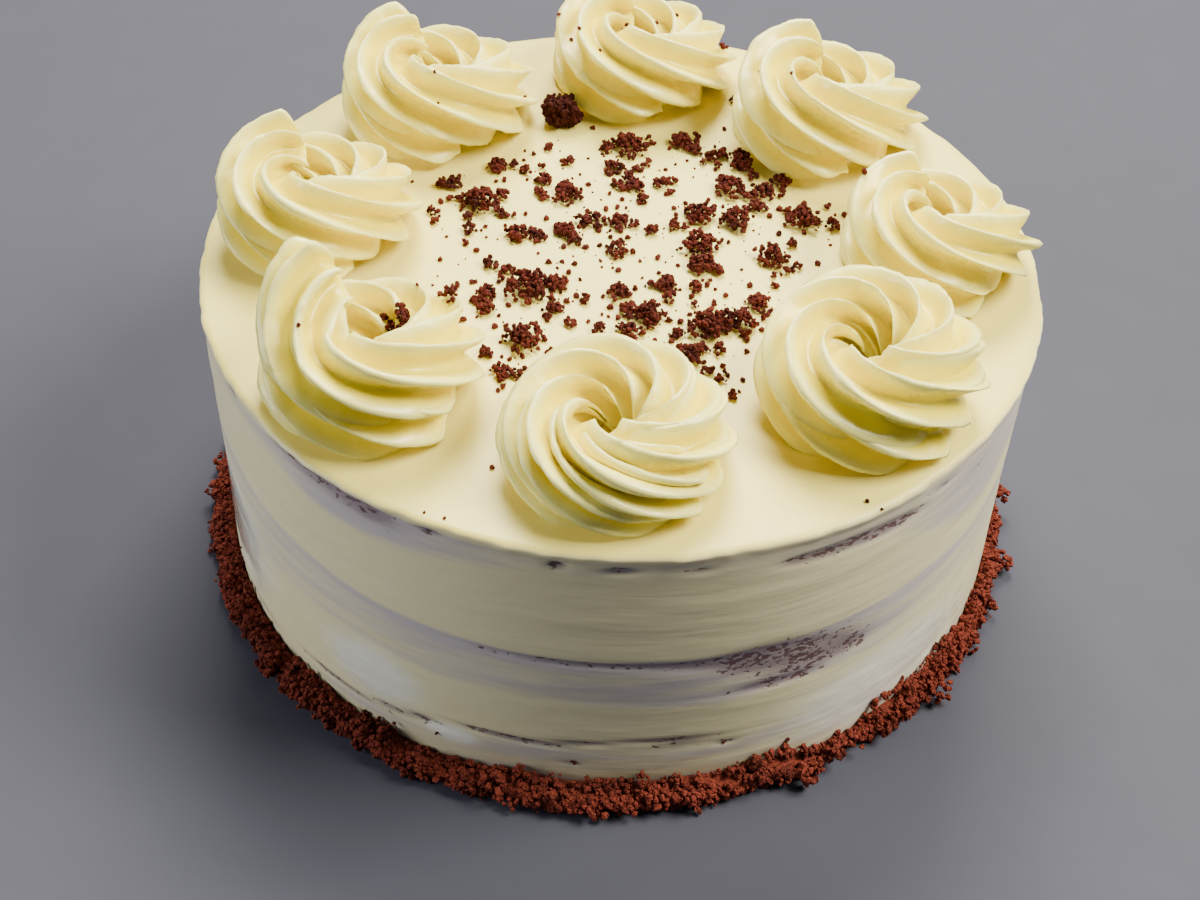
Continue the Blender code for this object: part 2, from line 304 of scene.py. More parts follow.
def scraped(azimuth, height):
    """How grey the coat is and how torn, at an azimuth in degrees and a height in mm."""
    way = outward(azimuth)
    drift = noise.noise(way * 1.6 + Vector((0, 0, 4)))
    edge = noise.noise(way * 7.0 + Vector((0, 0, height * 0.05)))
    streak = noise.noise(Vector((way.x * 3.2, way.y * 3.2, height * 0.30)))
    shown = 0.5 + 0.5 * max(bell(azimuth, middle, SHOWN_REACH) for middle in BAND_SHOWN)
    fade = smooth((azimuth + 180) / SEAM_FADE)
    start, reach, rise = MIDDLE_RISE
    middle_low = MIDDLE_BAND[0] + 1.6 * drift + 1.5 * edge
    middle_high = MIDDLE_BAND[1] + 1.6 * drift + edge + rise * fade * smooth((start - azimuth) / reach)
    band = smooth((height - middle_low) / 4 + 0.5) * smooth((middle_high - height) / 2.4 + 0.5)
    rim = math.exp(-((height - middle_high + 1.6) / 1.7) ** 2)
    grey = MIDDLE_BAND[2] * band * shown * (0.75 + 0.35 * streak) + 0.55 * rim * shown
    left = bell(azimuth, *LEFT_VEIL[:2])
    right = bell(azimuth, *RIGHT_VEIL[:2])
    top_low = TOP_BAND[0] - LEFT_VEIL[2] * left - RIGHT_VEIL[2] * right + 1.2 * edge
    band = smooth((height - top_low) / 6 + 0.5) * smooth((TOP_BAND[1] - height) / 1.5 + 0.5)
    shown_top = 0.42 + 0.58 * left + 0.5 * right + 0.2 * streak
    grey = max(grey, TOP_BAND[2] * band * shown_top)
    line = FOOT_BAND[1] - FOOT_SLOPE * fade * max(-90 - azimuth, 0)
    band = smooth((line - height) / 3 + 0.5) * smooth((height - FOOT_BAND[0]) / 3 + 0.5)
    grey = max(grey, FOOT_BAND[2] * band * (0.55 + 0.5 * streak) * (0.5 + 0.5 * shown))
    grey += 0.10 * max(streak, 0)
    torn = sum(spot[4] * hill(azimuth, height, spot) for spot in TORN)
    return min(max(grey, 0.0), 1.0), min(torn, 1.4)


def side_relief(azimuth, height):
    """How far the scraped side stands out, in metres: low scraper ripples and slow swells."""
    way = outward(azimuth)
    ripple = noise.noise(Vector((way.x * 2.4, way.y * 2.4, height * 0.22)))
    fine = noise.noise(Vector((way.x * 9, way.y * 9, height * 0.75)))
    swell = noise.noise(way * 1.3 + Vector((2, 0, height * 0.02)))
    return RIPPLE_DEPTH * ripple + MARK_DEPTH * fine + SWELL_DEPTH * swell


def edge_relief(azimuth):
    """How far the soft lip of the top stands over the side, in metres."""
    way = outward(azimuth)
    nicks = noise.noise(way * 9 + Vector((1, 5, 0))) + 0.6 * noise.noise(way * 27 + Vector((3, 0, 2)))
    return LIP_OUT + LIP_WAVE * noise.noise(way * 2.6) + LIP_NICKS * nicks


def top_relief(x, y):
    """Slow swells and faint spatula marks of the top, in metres."""
    swell = noise.noise(Vector((x * 22, y * 22, 1.0)))
    mark = noise.noise(Vector((x * 70 + y * 25, y * 160 - x * 50, 3.0)))
    return TOP_SWELL * swell + TOP_MARK * mark


def turned_surface(name, rings):
    """A closed surface through rings of points; a ring of one point closes a pole."""
    corners = []
    starts = []
    for ring in rings:
        starts.append(len(corners))
        corners.extend(ring)
    faces = []
    for low, high, low_ring, high_ring in zip(starts, starts[1:], rings, rings[1:]):
        sides = max(len(low_ring), len(high_ring))
        for step in range(sides):
            after = (step + 1) % sides
            if len(low_ring) == 1:
                faces.append((low, high + after, high + step))
            elif len(high_ring) == 1:
                faces.append((low + step, low + after, high))
            else:
                faces.append((low + step, low + after, high + after, high + step))
    mesh = bpy.data.meshes.new(name)
    mesh.from_pydata(corners, [], faces)
    mesh.shade_smooth()
    return in_scene(name, mesh)


def set_attribute(mesh, name, values):
    """Gives every point of a mesh one number."""
    mesh.attributes.new(name, "FLOAT", "POINT").data.foreach_set("value", values)


def coat_piece():
    """The coat as one dense closed skin, from its hidden inside round the foot and up to the top."""
    rings = [[(0, 0, CAKE_TOP - TOP_ICING)]]
    marks = [[(0, 0, 0, 1)]]
    turns = [360 * column / COAT_COLUMNS - 180 for column in range(COAT_COLUMNS)]
    ways = [(math.cos(math.radians(turn)), math.sin(math.radians(turn))) for turn in turns]
    inner = CAKE_RADIUS - SIDE_COAT
    skin = CAKE_RADIUS - COAT_INSET
    for height in (CAKE_TOP - TOP_ICING, COAT_FOOT):
        rings.append([(inner * x, inner * y, height) for x, y in ways])
        marks.append([(0, 0, 0, 0)] * COAT_COLUMNS)
    straight = CAKE_TOP - EDGE_ROUND
    for row in range(SIDE_ROWS):
        height = COAT_FOOT + (straight - COAT_FOOT) * row / SIDE_ROWS
        ring = []
        mark = []
        for turn, (x, y) in zip(turns, ways):
            grey, torn = scraped(turn, height * 1000)
            # How wet and glossy the coat is here, which also sets where a painted highlight whitens its
            # colour
            wet_and_highlight = max(hill(turn, height * 1000, spot) for spot in GLOSS_AND_HIGHLIGHT_PATCHES)
            lip = edge_relief(turn) * smooth((height - straight) / LIP_HEIGHT + 1)
            radius = skin + side_relief(turn, height * 1000) + lip - TORN_DEPTH * min(torn, 1)
            ring.append((radius * x, radius * y, height))
            mark.append((grey, torn, wet_and_highlight, 0))
        rings.append(ring)
        marks.append(mark)
    for row in range(EDGE_ROWS):
        angle = math.pi / 2 * row / EDGE_ROWS
        ring = []
        for turn, (x, y) in zip(turns, ways):
            out = skin - EDGE_ROUND + (EDGE_ROUND + edge_relief(turn)) * math.cos(angle)
            out += side_relief(turn, straight * 1000) * math.cos(angle)
            height = straight + EDGE_ROUND * math.sin(angle)
            height += top_relief(out * x, out * y) * math.sin(angle)
            ring.append((out * x, out * y, height))
        rings.append(ring)
        marks.append([(0, 0, 0, smooth(row / EDGE_ROWS * 1.6))] * COAT_COLUMNS)
    widest = skin - EDGE_ROUND
    for row in range(TOP_ROWS):
        radius = widest + (TOP_INNERMOST - widest) * row / (TOP_ROWS - 1)
        places = [(radius * x, radius * y) for x, y in ways]
        rings.append([(x, y, CAKE_TOP + top_relief(x, y)) for x, y in places])
        marks.append([(0, 0, 0, 1)] * COAT_COLUMNS)
    rings.append([(0, 0, CAKE_TOP + top_relief(0, 0))])
    marks.append([(0, 0, 0, 1)])
    made = turned_surface("icing_coat", rings)
    flat = np.array([mark for ring in marks for mark in ring], dtype=np.float32)
    for number, name in enumerate(("grey", "torn", "wet_and_highlight", "thick")):
        set_attribute(made.data, name, np.ascontiguousarray(flat[:, number]))
    return made


def coat_finish():
    """Ivory cream, greyer where the sponge shades through it, stained where it is torn, and painted white as
    a painted highlight on its wet patches.
    """
    made, mix, shader = finish("ivory_icing", {"Specular IOR Level": 0.45, "Subsurface Weight": 0.25,
                                               "Subsurface Radius": (1.0, 0.85, 0.5),
                                               "Subsurface Scale": 0.0015, "Coat Roughness": 0.08})
    streak = mix.grain(COAT_STREAKS_PER_METRE, 4.0, (1, 1, 9))
    fleck = mix.grain(COAT_FLECKS_PER_METRE, 3.0, (1, 1, 1.7))
    soft = mix.grain(COAT_CLOUDS_PER_METRE)
    grey = mix.step(mix.attribute("grey") + (streak - 0.5) * 0.5, 0.12, 1.0)
    torn = mix.attribute("torn")
    stain = mix.step(torn * 0.38 + (fleck - 0.5) * 2.6 + (soft - 0.5) * 0.9, *FLECKS_SHOWN)
    stain = stain * mix.step(torn, 0.08, 0.4)
    cream = mix.mix(mix.attribute("thick"), colour(SCRAPED_CREAM), colour(ICING_CREAM))
    veiled = mix.mix(grey, cream, colour(ICING_VEIL))
    smear = mix.step(torn + (streak - 0.5) * 0.5 + (soft - 0.5) * 0.3, 0.04, 1.0)
    shaded = mix.mix(smear * 0.8, veiled, colour(ICING_SMEAR))
    wet_and_highlight = mix.attribute("wet_and_highlight")
    # Painted highlight: the wet patches are mixed towards near-white, standing in for light reflected on the
    # wet cream
    shaded = mix.mix(mix.step(wet_and_highlight, 0.1, 0.8) * PAINTED_HIGHLIGHT_STRENGTH, shaded, colour(PAINTED_HIGHLIGHT_WHITE))
    put(shader.inputs["Base Color"], mix.mix(stain * STAIN_STRENGTH, shaded, colour(ICING_STAIN)))
    shine = mix.step(wet_and_highlight + (soft - 0.5) * 0.8, 0.25, 0.8)
    put(shader.inputs["Roughness"], 0.42 - shine * 0.32 + stain * 0.3 + (streak - 0.5) * 0.12)
    put(shader.inputs["Coat Weight"], shine * 0.8)
    relief = streak * 0.5 + soft * (0.3 + wet_and_highlight * 1.5) - stain * 0.8
    put(shader.inputs["Normal"], mix.bump(relief, 0.45, 0.0004))
    return made


coat = coat_piece()
coat.data.materials.append(coat_finish())
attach(coat, "root")
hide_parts("icing")

# The eight rosettes. Butter-yellow cream piped from a seven-toothed star nozzle in one clockwise
# coil each, which climbs on its own first turn and ends in a torn tail.
PIPED_RIDGE = (0.97, 0.90, 0.295)
PIPED_VALLEY_SHADE = (0.95, 0.785, 0.048)
FIT_GAP = 0.0003
ROPE_SHARE = 0.40
SEAT_SHARE = 0.62
CLIMB_START = 0.70
CLIMB_END = 1.10
CLOSE_IN = 0.30
TAIL_TURNS = 0.30
TEETH = 7
VALLEY_REACH = 0.48          # how far a valley lies from the rope's middle, as a share of a tooth's reach
TOOTH_WIDTH = 0.40           # half width of a tooth, as a share of half its pitch
POINTS_A_TOOTH = 14
SECTION_STEP = 0.0007
CLIMB_DRAW = 0.04            # how far the coil draws in as it climbs
CLOSE_START = 1.6            # turns laid before it closes to the middle
START_TAPER = (0.05, 0.65)   # turns over which the rope swells, and its first share of the width
END_TAPER = (0.06, 0.35)     # turns over which it breaks off, and where on that taper it is cut
PIPED_SWELLS_PER_METRE = 75
PIPED_GRAINS_PER_METRE = 420
PIPED_CLOUDS_PER_METRE = 260
SLOW_WAVE = 0.0022           # unevenness of the rope, of its ridges and of its skin
RIDGE_ROUGH = 0.0007
SKIN_ROUGH = 0.00012
# Rosettes in metres and degrees: x, y, outer radius, height, start azimuth, turns, lift of the tail,
# tooth phase
ROSETTES = (
    (0.0012, -0.0713, 0.0253, 0.0190, -30, 2.21, 0.0005, 10),
    (0.0552, -0.0493, 0.0256, 0.0230, -35, 2.19, 0.0010, 0),
    (0.0748, 0.0008, 0.0235, 0.0225, -55, 1.55, 0.0005, 20),
    (0.0518, 0.0533, 0.0254, 0.0245, -80, 1.50, 0.0010, 20),
    (0.0036, 0.0752, 0.0248, 0.0230, -75, 1.50, 0.0010, 30),
    (-0.0480, 0.0535, 0.0255, 0.0240, -70, 1.48, 0.0020, 15),
    (-0.0715, 0.0030, 0.0244, 0.0235, -60, 1.52, 0.0020, 25),
    (-0.0518, -0.0524, 0.0250, 0.0240, -30, 1.56, 0.0100, 0),
)


def piping_tree():
    """A coil of piped cream: a rising spiral that carries a star section, rolled as it is laid."""
    tree = bpy.data.node_groups.new("piped_coil", "GeometryNodeTree")
    face = tree.interface
    face.new_socket("Geometry", in_out="INPUT", socket_type="NodeSocketGeometry")
    for name in ("Outer Radius", "Height", "Start", "Turns", "Lift", "Phase"):
        face.new_socket(name, in_out="INPUT", socket_type="NodeSocketFloat")
    face.new_socket("Sections", in_out="INPUT", socket_type="NodeSocketInt")
    face.new_socket("Seed", in_out="INPUT", socket_type="NodeSocketFloat")
    face.new_socket("Cream", in_out="INPUT", socket_type="NodeSocketMaterial")
    face.new_socket("Geometry", in_out="OUTPUT", socket_type="NodeSocketGeometry")
    mix = Recipe(tree)
    given = tree.nodes.new("NodeGroupInput").outputs
    outer, height, start, turns, lift, phase = (Field(given[name]) for name in (
        "Outer Radius", "Height", "Start", "Turns", "Lift", "Phase"))

    def soft(value):
        return mix.step(value, 0.0, 1.0)

    def place(x, y, z):
        return mix.add("ShaderNodeCombineXYZ", sockets={"X": x, "Y": y, "Z": z})

    rope = outer * ROPE_SHARE
    seat = rope * SEAT_SHARE
    share = mix.add("GeometryNodeSplineParameter")
    done = share * turns
    climb = soft((done - CLIMB_START) / (CLIMB_END - CLIMB_START))
    past = done.maths("MAXIMUM", done - CLOSE_START, 0.0)
    ring = (outer - rope) * (1.0 - climb * CLIMB_DRAW - past * CLOSE_IN)
    tail = soft((done - turns + TAIL_TURNS) / TAIL_TURNS)
    up = seat + (height - rope - seat) * climb + lift * tail
    azimuth = start - done * (2 * math.pi)
    line = mix.add("GeometryNodeCurvePrimitiveLine")
    sections = {"Curve": line, "Count": Field(given["Sections"])}
    line = mix.add("GeometryNodeResampleCurve", {"mode": "COUNT"}, sections)
    spiral = place(ring * azimuth.maths("COSINE", azimuth), ring * azimuth.maths("SINE", azimuth), up)
    line = mix.add("GeometryNodeSetPosition", sockets={"Geometry": line, "Position": spiral})
    line = mix.add("GeometryNodeSetCurveNormal", {"mode": "Z_UP"}, {"Curve": line})
    roll = done * (2 * math.pi) - start + phase
    line = mix.add("GeometryNodeSetCurveTilt", sockets={"Curve": line, "Tilt": roll})
    round_points = TEETH * POINTS_A_TOOTH
    star = mix.add("GeometryNodeCurvePrimitiveCircle", sockets={"Resolution": round_points, "Radius": 1.0})
    index = mix.add("GeometryNodeInputIndex")
    along = index / POINTS_A_TOOTH
    offset = along - along.maths("ROUND", along)
    away = offset * (2 / TOOTH_WIDTH)
    tooth = away.maths("EXPONENT", away * away * -1.0)
    reach = tooth * (1 - VALLEY_REACH) + VALLEY_REACH
    turn = index * (2 * math.pi / round_points)
    corner = place(reach * turn.maths("COSINE", turn), reach * turn.maths("SINE", turn), 0.0)
    star = mix.add("GeometryNodeSetPosition", sockets={"Geometry": star, "Position": corner})
    star = mix.add("GeometryNodeStoreNamedAttribute", {"data_type": "FLOAT", "domain": "POINT"},
                   {"Geometry": star, "Name": "tooth", "Value": tooth})
    begin = soft(done / START_TAPER[0]) * (1 - START_TAPER[1]) + START_TAPER[1]
    finish_off = soft((turns - done) / END_TAPER[0] + END_TAPER[1])
    width = rope * begin * finish_off
    coil = mix.add("GeometryNodeCurveToMesh", sockets={"Curve": line, "Profile Curve": star, "Scale": width,
                                                       "Fill Caps": True})
    where = mix.add("GeometryNodeInputPosition")
    away = place(Field(given["Seed"]), 0.0, 0.0)
    shift = mix.add("ShaderNodeVectorMath", {"operation": "ADD"}, {0: where, 1: away})
    slow = mix.add("ShaderNodeTexNoise", sockets={"Vector": shift, "Scale": PIPED_SWELLS_PER_METRE,
                                                  "Detail": 1.0})
    quick = mix.add("ShaderNodeTexNoise", sockets={"Vector": shift, "Scale": PIPED_GRAINS_PER_METRE,
                                                   "Detail": 2.0})
    ridge = mix.add("GeometryNodeInputNamedAttribute", {"data_type": "FLOAT"}, {"Name": "tooth"})
    push = (slow - 0.5) * SLOW_WAVE + (quick - 0.5) * (ridge * RIDGE_ROUGH + SKIN_ROUGH)
    normal = mix.add("GeometryNodeInputNormal")
    offset = mix.add("ShaderNodeVectorMath", {"operation": "SCALE"}, {0: normal, "Scale": push})
    coil = mix.add("GeometryNodeSetPosition", sockets={"Geometry": coil, "Offset": offset})
    coil = mix.add("GeometryNodeSetShadeSmooth", sockets={"Geometry": coil})
    coil = mix.add("GeometryNodeRealizeInstances", sockets={"Geometry": coil})
    coil = mix.add("GeometryNodeSetMaterial", sockets={"Geometry": coil, "Material": Field(given["Cream"])})
    put(tree.nodes.new("NodeGroupOutput").inputs[0], coil)
    return tree


def grown(name, tree, values, mesh=None):
    """Runs a geometry tree on a new object and keeps its result as a plain mesh."""
    maker = in_scene(name, mesh or bpy.data.meshes.new(name))
    steps = maker.modifiers.new("steps", "NODES")
    steps.node_group = tree
    for socket in tree.interface.items_tree:
        if socket.in_out == "INPUT" and socket.name in values:
            steps[socket.identifier] = values[socket.name]
    bpy.context.view_layer.update()
    graph = bpy.context.evaluated_depsgraph_get()
    made = bpy.data.meshes.new_from_object(maker.evaluated_get(graph))
    maker.modifiers.remove(steps)
    maker.data = made
    made.name = name
    return maker


def piped_finish():
    """Butter-yellow cream: pale where the teeth thin out, with painted shade that turns it a deeper yellow
    down in the valleys.
    """
    made, mix, shader = finish("piped_butter_cream", {"Specular IOR Level": 0.5, "Subsurface Weight": 0.15,
                                                      "Subsurface Radius": (1.0, 0.8, 0.35),
                                                      "Subsurface Scale": 0.0012})
    # Painted shade: the valleys between the teeth get a deeper yellow than the paler ridges, standing in for
    # light shaded and bounced between them
    tooth = mix.step(mix.attribute("tooth"), 0.30, 1.0)
    soft = mix.grain(PIPED_CLOUDS_PER_METRE, 3.0)
    shade = mix.mix(tooth + (soft - 0.5) * 0.1, colour(PIPED_VALLEY_SHADE), colour(PIPED_RIDGE))
    put(shader.inputs["Base Color"], shade)
    put(shader.inputs["Roughness"], 0.30 + (soft - 0.5) * 0.3)
    put(shader.inputs["Normal"], mix.bump(soft, 0.3, 0.0003))
    return made


piping = piping_tree()
piped_cream = piped_finish()
rosettes = []
for number, (x, y, outer, height, start, turns, lift, phase) in enumerate(ROSETTES, 1):
    length = 2 * math.pi * outer * (1 - ROPE_SHARE) * turns
    values = {"Outer Radius": outer, "Height": height, "Start": math.radians(start), "Turns": turns,
              "Lift": lift, "Phase": math.radians(phase), "Sections": int(length / SECTION_STEP),
              "Seed": 1.7 * number, "Cream": piped_cream}
    swirl = grown("piped_rosette_%d" % number, piping, values)
    swirl.data.transform(Matrix.Translation((x, y, CAKE_TOP + FIT_GAP)))
    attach(swirl, "root")
    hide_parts("rosette_%d" % number)
    rosettes.append(swirl)

# The crumbs on the top. Offcuts of the sponge, rubbed between the fingers and scattered over the
# open middle: clumps of small grains pressed together, with single grains and dust round them.
TOP_CRUMB_RED = (0.110, 0.017, 0.010)
TOP_CRUMB_DARK = (0.026, 0.004, 0.003)
CRUMB_TONES_PER_METRE = 420
CRUMB_PORES_PER_METRE = 1900
CRUMB_CLOUDS_PER_METRE = 150
CRUMB_KINDS = 7
# Clumps: x, y and width in mm
CLUMPS = (
    (-35, 16, 8.5), (-42, 24, 4.0), (-32, 32, 5.0), (-25, 4, 5.5), (-14, 21, 6.5),
    (-20, 27, 4.0), (-13, 6, 5.5), (1, 43, 8.0), (-3, 34, 4.5), (14, 46, 6.0),
    (3, 26, 4.5), (9, 28, 4.0), (26, 27, 7.0), (29, 39, 6.5), (35, 26, 5.0),
    (19, 15, 7.0), (28, 13, 7.5), (19, 3, 8.0), (19, -5, 7.0), (44, 15, 7.5),
    (36, 0, 7.5), (-1, 11, 4.5), (-1, 0, 5.0), (-21, -16, 9.5), (-15, -14, 5.0),
    (-31, -19, 5.0), (-15, -23, 4.0), (0, -16, 5.0), (11, -12, 4.5), (7, -24, 7.5),
    (3, -30, 4.5), (21, -27, 9.0), (28, -25, 8.0), (32, -18, 5.5), (-21, -35, 8.5),
    (16, -38, 6.5), (39, 31, 4.5), (-25, -46, 4.5),
)
CLUMP_SPREAD = 1.1           # outlying grains make a clump wider than its solid
CLUMP_RISE = 0.44            # height of a clump as a share of its width
GRAIN_WIDTH = (0.0006, 0.0015)
SMALL_CLUMPS = 150
SMALL_CLUMP_WIDTH = (0.0014, 0.0042)
DUST_COUNT = 520
DUST_WIDTH = (0.0004, 0.0019)
CLUMP_FILL = 2.9             # grains of a clump: this many for a clump that is one grain wide
CLUMP_GRAIN = 0.00105
CLUMP_POWER = 1.85
NEAR_CLUMPS = 0.62           # share of the small crumbs that lie near a clump, and how near
NEAR_SPREAD = 0.0055
OPEN_WIDTH = (-0.047, 0.047)
OPEN_DEPTH = (-0.050, 0.052)
OPEN_RADIUS = 0.060
ROSETTE_CLEAR = 0.0005


def crumb_finish(name, light, dark):
    """Dry red crumb, lighter on its broken edges and dark in its hollows."""
    made, mix, shader = finish(name, {"Roughness": 0.9, "Specular IOR Level": 0.2})
    tone = mix.grain(CRUMB_TONES_PER_METRE, 3.0)
    pore = mix.step(mix.cells(CRUMB_PORES_PER_METRE), 0.1, 0.6)
    patch = mix.grain(CRUMB_CLOUDS_PER_METRE, 1.0)
    share = mix.step(tone * 0.7 + pore * 0.45 + (patch - 0.5) * 0.9, 0.30, 0.85)
    put(shader.inputs["Base Color"], mix.mix(share, colour(dark), colour(light)))
    put(shader.inputs["Normal"], mix.bump(pore + tone, 0.7, 0.0002))
    return made


def crumb_shapes():
    """A few ragged grains one unit wide, in a group of their own."""
    group = bpy.data.collections.new("grains")
    for number in range(CRUMB_KINDS):
        shape = bmesh.new()
        bmesh.ops.create_icosphere(shape, subdivisions=1 if number % 3 else 2, radius=0.5)
        away = Vector((3.1, number * 5.7, 1.3))
        for vert in shape.verts:
            lump = noise.noise(vert.co * 5.5 + away) * 0.6 + noise.noise(vert.co * 17 + away) * 0.5
            vert.co *= 0.95 + lump
            vert.co.z *= 0.8
        mesh = bpy.data.meshes.new("grain")
        shape.to_mesh(mesh)
        shape.free()
        group.objects.link(bpy.data.objects.new("grain", mesh))
    return group


def sprinkling_tree():
    """Puts one of the grains, turned at random, on every point of a cloud of points."""
    tree = bpy.data.node_groups.new("sprinkling", "GeometryNodeTree")
    face = tree.interface
    face.new_socket("Geometry", in_out="INPUT", socket_type="NodeSocketGeometry")
    face.new_socket("Grains", in_out="INPUT", socket_type="NodeSocketCollection")
    face.new_socket("Seed", in_out="INPUT", socket_type="NodeSocketInt")
    face.new_socket("Crumb", in_out="INPUT", socket_type="NodeSocketMaterial")
    face.new_socket("Geometry", in_out="OUTPUT", socket_type="NodeSocketGeometry")
    mix = Recipe(tree)
    given = tree.nodes.new("NodeGroupInput").outputs
    seed = Field(given["Seed"])
    grains = mix.add("GeometryNodeCollectionInfo", sockets={
        "Collection": Field(given["Grains"]), "Separate Children": True, "Reset Children": True})
    kinds = {4: 0, 5: CRUMB_KINDS - 1, "Seed": seed}
    pick = mix.add("FunctionNodeRandomValue", {"data_type": "INT"}, kinds, out=2)
    angles = {0: (0, 0, 0), 1: (6.28, 6.28, 6.28), "Seed": seed}
    turn = mix.add("FunctionNodeRandomValue", {"data_type": "FLOAT_VECTOR"}, angles)
    width = mix.add("GeometryNodeInputNamedAttribute", {"data_type": "FLOAT"}, {"Name": "width"})
    placed = mix.add("GeometryNodeInstanceOnPoints", sockets={
        "Points": Field(given["Geometry"]), "Instance": grains, "Pick Instance": True, "Instance Index": pick,
        "Rotation": turn, "Scale": width})
    real = mix.add("GeometryNodeRealizeInstances", sockets={"Geometry": placed})
    real = mix.add("GeometryNodeSetShadeSmooth", sockets={"Geometry": real, "Shade Smooth": False})
    real = mix.add("GeometryNodeSetMaterial", sockets={"Geometry": real, "Material": Field(given["Crumb"])})
    put(tree.nodes.new("NodeGroupOutput").inputs[0], real)
    return tree


def sprinkled(name, grains, seed, look):
    """One piece of crumbs: every grain is given as its middle and its width, in metres."""
    mesh = bpy.data.meshes.new(name)
    mesh.from_pydata([place for place, width in grains], [], [])
    widths = np.array([width for place, width in grains], dtype=np.float32)
    set_attribute(mesh, "width", widths)
    values = {"Grains": crumb_group, "Seed": seed, "Crumb": look}
    return grown(name, sprinkling, values, mesh)


def clump(x, y, floor, width, rise):
    """Grains pressed together in an uneven mound, as middles and widths."""
    grains = []
    count = max(int(CLUMP_FILL * (width / CLUMP_GRAIN) ** CLUMP_POWER), 5)
    away = Vector((x * 400, y * 400, 0))
    for number in range(count):
        turn = draw.uniform(0, 2 * math.pi)
        way = Vector((math.cos(turn), math.sin(turn), 0))
        edge = width / 2 * (0.90 + 0.75 * noise.noise(way * 1.4 + away))
        out = edge * math.sqrt(draw.random())
        grain = draw.uniform(*GRAIN_WIDTH)
        top = rise * math.sqrt(max(1 - (out / max(edge, 0.0001)) ** 2, 0.0))
        up = floor + grain * 0.3 + top * draw.uniform(0.25, 1.0)
        grains.append(((x + out * math.cos(turn), y + out * math.sin(turn), up), grain))
    return grains


def on_rosette(x, y):
    """True where a rosette stands on the top."""
    return any(math.hypot(x - spec[0], y - spec[1]) < spec[2] + ROSETTE_CLEAR for spec in ROSETTES)


def open_place():
    """A point of the open middle, most often near a clump."""
    while True:
        if draw.random() < NEAR_CLUMPS:
            x, y, width = draw.choice(CLUMPS)
            x = x / 1000 + draw.gauss(0, NEAR_SPREAD)
            y = y / 1000 + draw.gauss(0, NEAR_SPREAD)
        else:
            x = draw.uniform(*OPEN_WIDTH)
            y = draw.uniform(*OPEN_DEPTH)
        if not on_rosette(x, y) and math.hypot(x, y) < OPEN_RADIUS:
            return x, y


top_crumb = crumb_finish("baked_red_crumb", TOP_CRUMB_RED, TOP_CRUMB_DARK)
crumb_group = crumb_shapes()
sprinkling = sprinkling_tree()
draw = random.Random(5)
clump_grains = []
small_grains = []
for x, y, width in CLUMPS:
    width = width * CLUMP_SPREAD / 1000
    clump_grains += clump(x / 1000, y / 1000, CAKE_TOP, width, width * CLUMP_RISE)
for number in range(SMALL_CLUMPS):
    width = SMALL_CLUMP_WIDTH[0] + (SMALL_CLUMP_WIDTH[1] - SMALL_CLUMP_WIDTH[0]) * draw.random() ** 1.5
    small_grains += clump(*open_place(), CAKE_TOP, width, width * CLUMP_RISE * 1.3)
dust_grains = []
for number in range(DUST_COUNT):
    x, y = open_place()
    width = DUST_WIDTH[0] + (DUST_WIDTH[1] - DUST_WIDTH[0]) * draw.random() ** 2.0
    dust_grains.append(((x, y, CAKE_TOP + top_relief(x, y) + width * 0.22), width))
top_clumps = sprinkled("top_clumps", clump_grains, 3, top_crumb)
top_small_clumps = sprinkled("top_small_clumps", small_grains, 5, top_crumb)
top_dust = sprinkled("top_dust", dust_grains, 4, top_crumb)
for piece in (top_clumps, top_small_clumps, top_dust):
    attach(piece, "root")
    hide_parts("icing")

# The large lump. One torn piece of sponge the size of a hazelnut, which fell between the two
# back rosettes and lies on the icing.
LUMP = (-0.0172, 0.0532, 0.0110, 0.0092, 0.0080)   # x, y, length, depth and height
LUMP_RED = (0.050, 0.006, 0.003)
LUMP_GRAINS = 900
LUMP_GRAIN_WIDTH = (0.0008, 0.0017)


def lump_grains():
    """Grains packed over a ragged egg that sits on the icing."""
    x, y, length, depth, height = LUMP
    grains = []
    for number in range(LUMP_GRAINS):
        up = draw.uniform(-1, 1)
        turn = draw.uniform(0, 2 * math.pi)
        flat = math.sqrt(1 - up * up)
        way = Vector((flat * math.cos(turn), flat * math.sin(turn), up))
        reach = 0.86 + 0.50 * noise.noise(way * 2.1 + Vector((4, 4, 4)))
        reach *= 1 + 0.35 * min(noise.noise(way * 6 + Vector((9, 1, 4))), 0)
        reach *= draw.uniform(0.75, 1.0)
        width = draw.uniform(*LUMP_GRAIN_WIDTH)
        rise = max(CAKE_TOP + height / 2 + way.z * reach * height / 2, CAKE_TOP + width * 0.35)
        grains.append(((x + way.x * reach * length / 2, y + way.y * reach * depth / 2, rise), width))
    return grains


dark_crumb = crumb_finish("dark_crumb", LUMP_RED, TOP_CRUMB_DARK)
large_lump = sprinkled("large_lump", lump_grains(), 9, dark_crumb)
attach(large_lump, "root")
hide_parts("crumb_chunk")

